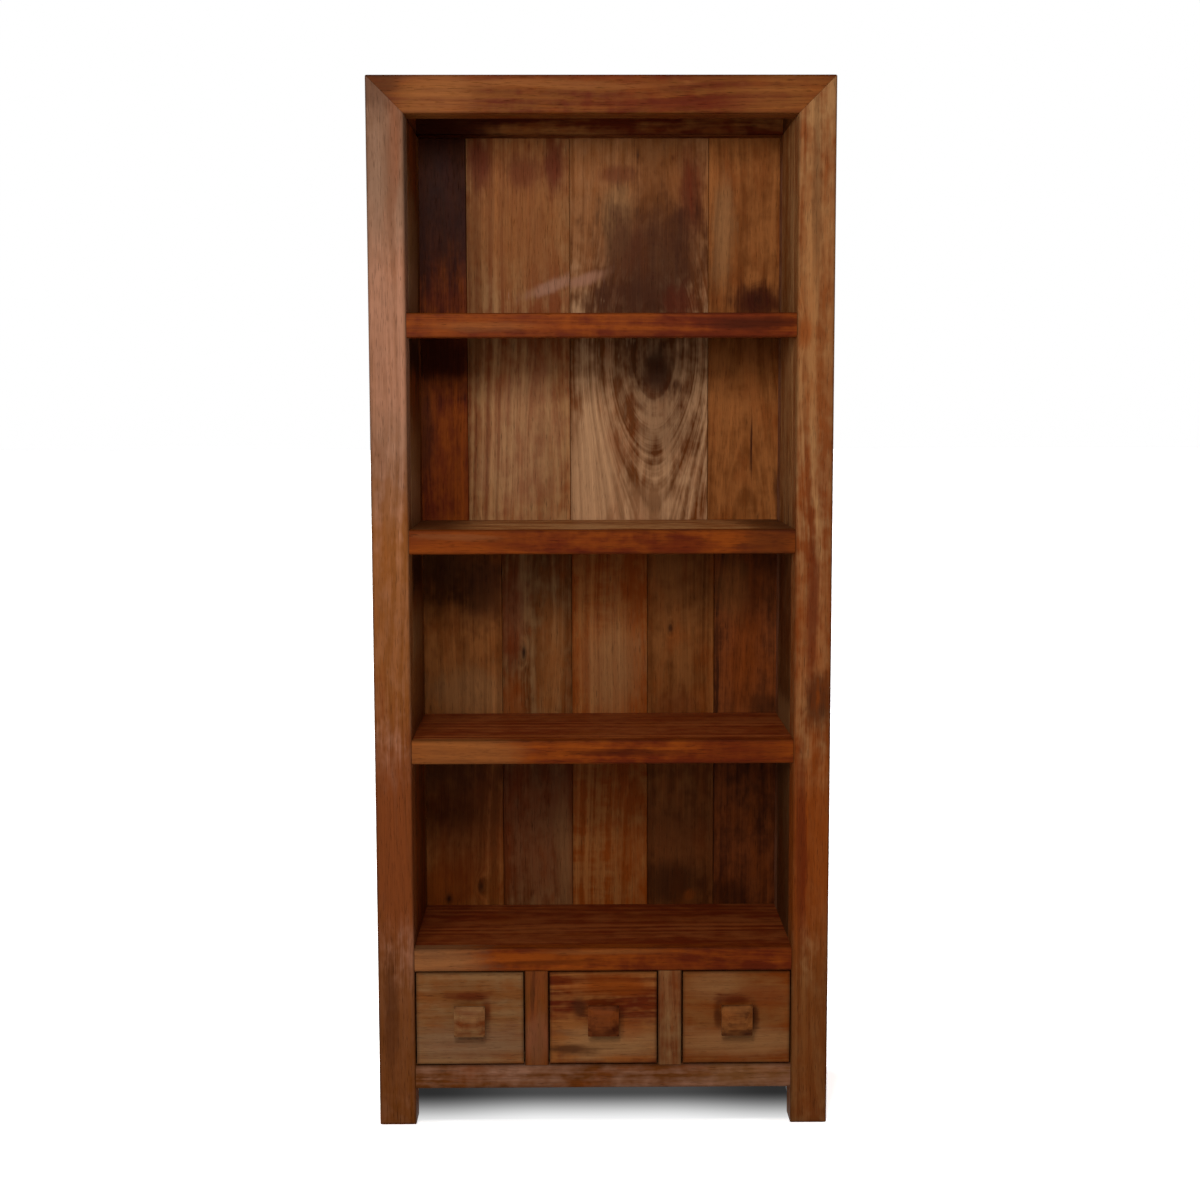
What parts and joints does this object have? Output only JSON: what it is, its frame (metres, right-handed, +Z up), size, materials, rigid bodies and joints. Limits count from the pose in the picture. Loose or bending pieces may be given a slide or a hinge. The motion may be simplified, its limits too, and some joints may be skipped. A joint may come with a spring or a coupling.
{
  "type": "bookcase with bottom drawers",
  "caption": "Tall open bookcase in dark stained hardwood with square posts, mitred top corners, fixed shelves and inset drawers with square knobs below the lowest bay.",
  "frame": {"origin": "on the floor, under the middle of the overall box, knobs included", "axes": "+Z up, -Y out of the open front, +X to the right of someone who faces the front"},
  "size_m": [0.8, 0.378, 1.834],
  "materials": {
    "post_wood": "dark stained hardwood, satin lacquer",
    "top_frame_wood": "dark stained hardwood, satin lacquer",
    "shelf_wood": "dark stained hardwood, satin lacquer",
    "panel_wood": "dark stained hardwood, satin lacquer",
    "back_board_wood": "dark stained hardwood, satin lacquer",
    "drawer_front_wood": "dark stained hardwood, satin lacquer",
    "drawer_box_wood": "bare hardwood, smooth",
    "knob_wood": "dark stained hardwood, satin lacquer",
    "screw_steel": "zinc plated"
  },
  "bodies": {
    "case": {"post_front_left": "post_wood", "post_front_right": "post_wood", "post_rear_left": "post_wood", "post_rear_right": "post_wood", "top_rail_front": "top_frame_wood", "top_rail_rear": "top_frame_wood", "top_rail_left": "top_frame_wood", "top_rail_right": "top_frame_wood", "top_panel": "top_frame_wood", "side_panel_left": "panel_wood", "side_panel_right": "panel_wood", "side_rail_left": "panel_wood", "side_rail_right": "panel_wood", "shelf_rail_lower": "shelf_wood", "shelf_rail_middle": "shelf_wood", "shelf_rail_upper": "shelf_wood", "shelf_lower": "shelf_wood", "shelf_middle": "shelf_wood", "shelf_upper": "shelf_wood", "deck_rail": "shelf_wood", "deck": "shelf_wood", "bottom_rail": "shelf_wood", "back_rail": "shelf_wood", "divider_1": "shelf_wood", "divider_2": "shelf_wood", "case_floor": "drawer_box_wood", "guide_frame": "drawer_box_wood", "kicker_frame": "drawer_box_wood", "back_board_upper_1": "back_board_wood", "back_board_upper_2": "back_board_wood", "back_board_upper_3": "back_board_wood", "back_board_upper_4": "back_board_wood", "back_board_lower_1": "back_board_wood", "back_board_lower_2": "back_board_wood", "back_board_lower_3": "back_board_wood", "back_board_lower_4": "back_board_wood", "back_board_lower_5": "back_board_wood"},
    "drawer_left": {"drawer_left_front": "drawer_front_wood", "drawer_left_side_left": "drawer_box_wood", "drawer_left_side_right": "drawer_box_wood", "drawer_left_back": "drawer_box_wood", "drawer_left_floor": "drawer_box_wood", "drawer_left_knob": "knob_wood", "drawer_left_knob_screw": "screw_steel"},
    "drawer_middle": {"drawer_middle_front": "drawer_front_wood", "drawer_middle_side_left": "drawer_box_wood", "drawer_middle_side_right": "drawer_box_wood", "drawer_middle_back": "drawer_box_wood", "drawer_middle_floor": "drawer_box_wood", "drawer_middle_knob": "knob_wood", "drawer_middle_knob_screw": "screw_steel"},
    "drawer_right": {"drawer_right_front": "drawer_front_wood", "drawer_right_side_left": "drawer_box_wood", "drawer_right_side_right": "drawer_box_wood", "drawer_right_back": "drawer_box_wood", "drawer_right_floor": "drawer_box_wood", "drawer_right_knob": "knob_wood", "drawer_right_knob_screw": "screw_steel"}
  },
  "joints": [
    {"name": "drawer_left_slide", "type": "slide", "parent": "case", "child": "drawer_left", "axis": [0, -1, 0], "range_m": [0, 0.2]},
    {"name": "drawer_middle_slide", "type": "slide", "parent": "case", "child": "drawer_middle", "axis": [0, -1, 0], "range_m": [0, 0.2]},
    {"name": "drawer_right_slide", "type": "slide", "parent": "case", "child": "drawer_right", "axis": [0, -1, 0], "range_m": [0, 0.2]}
  ]
}
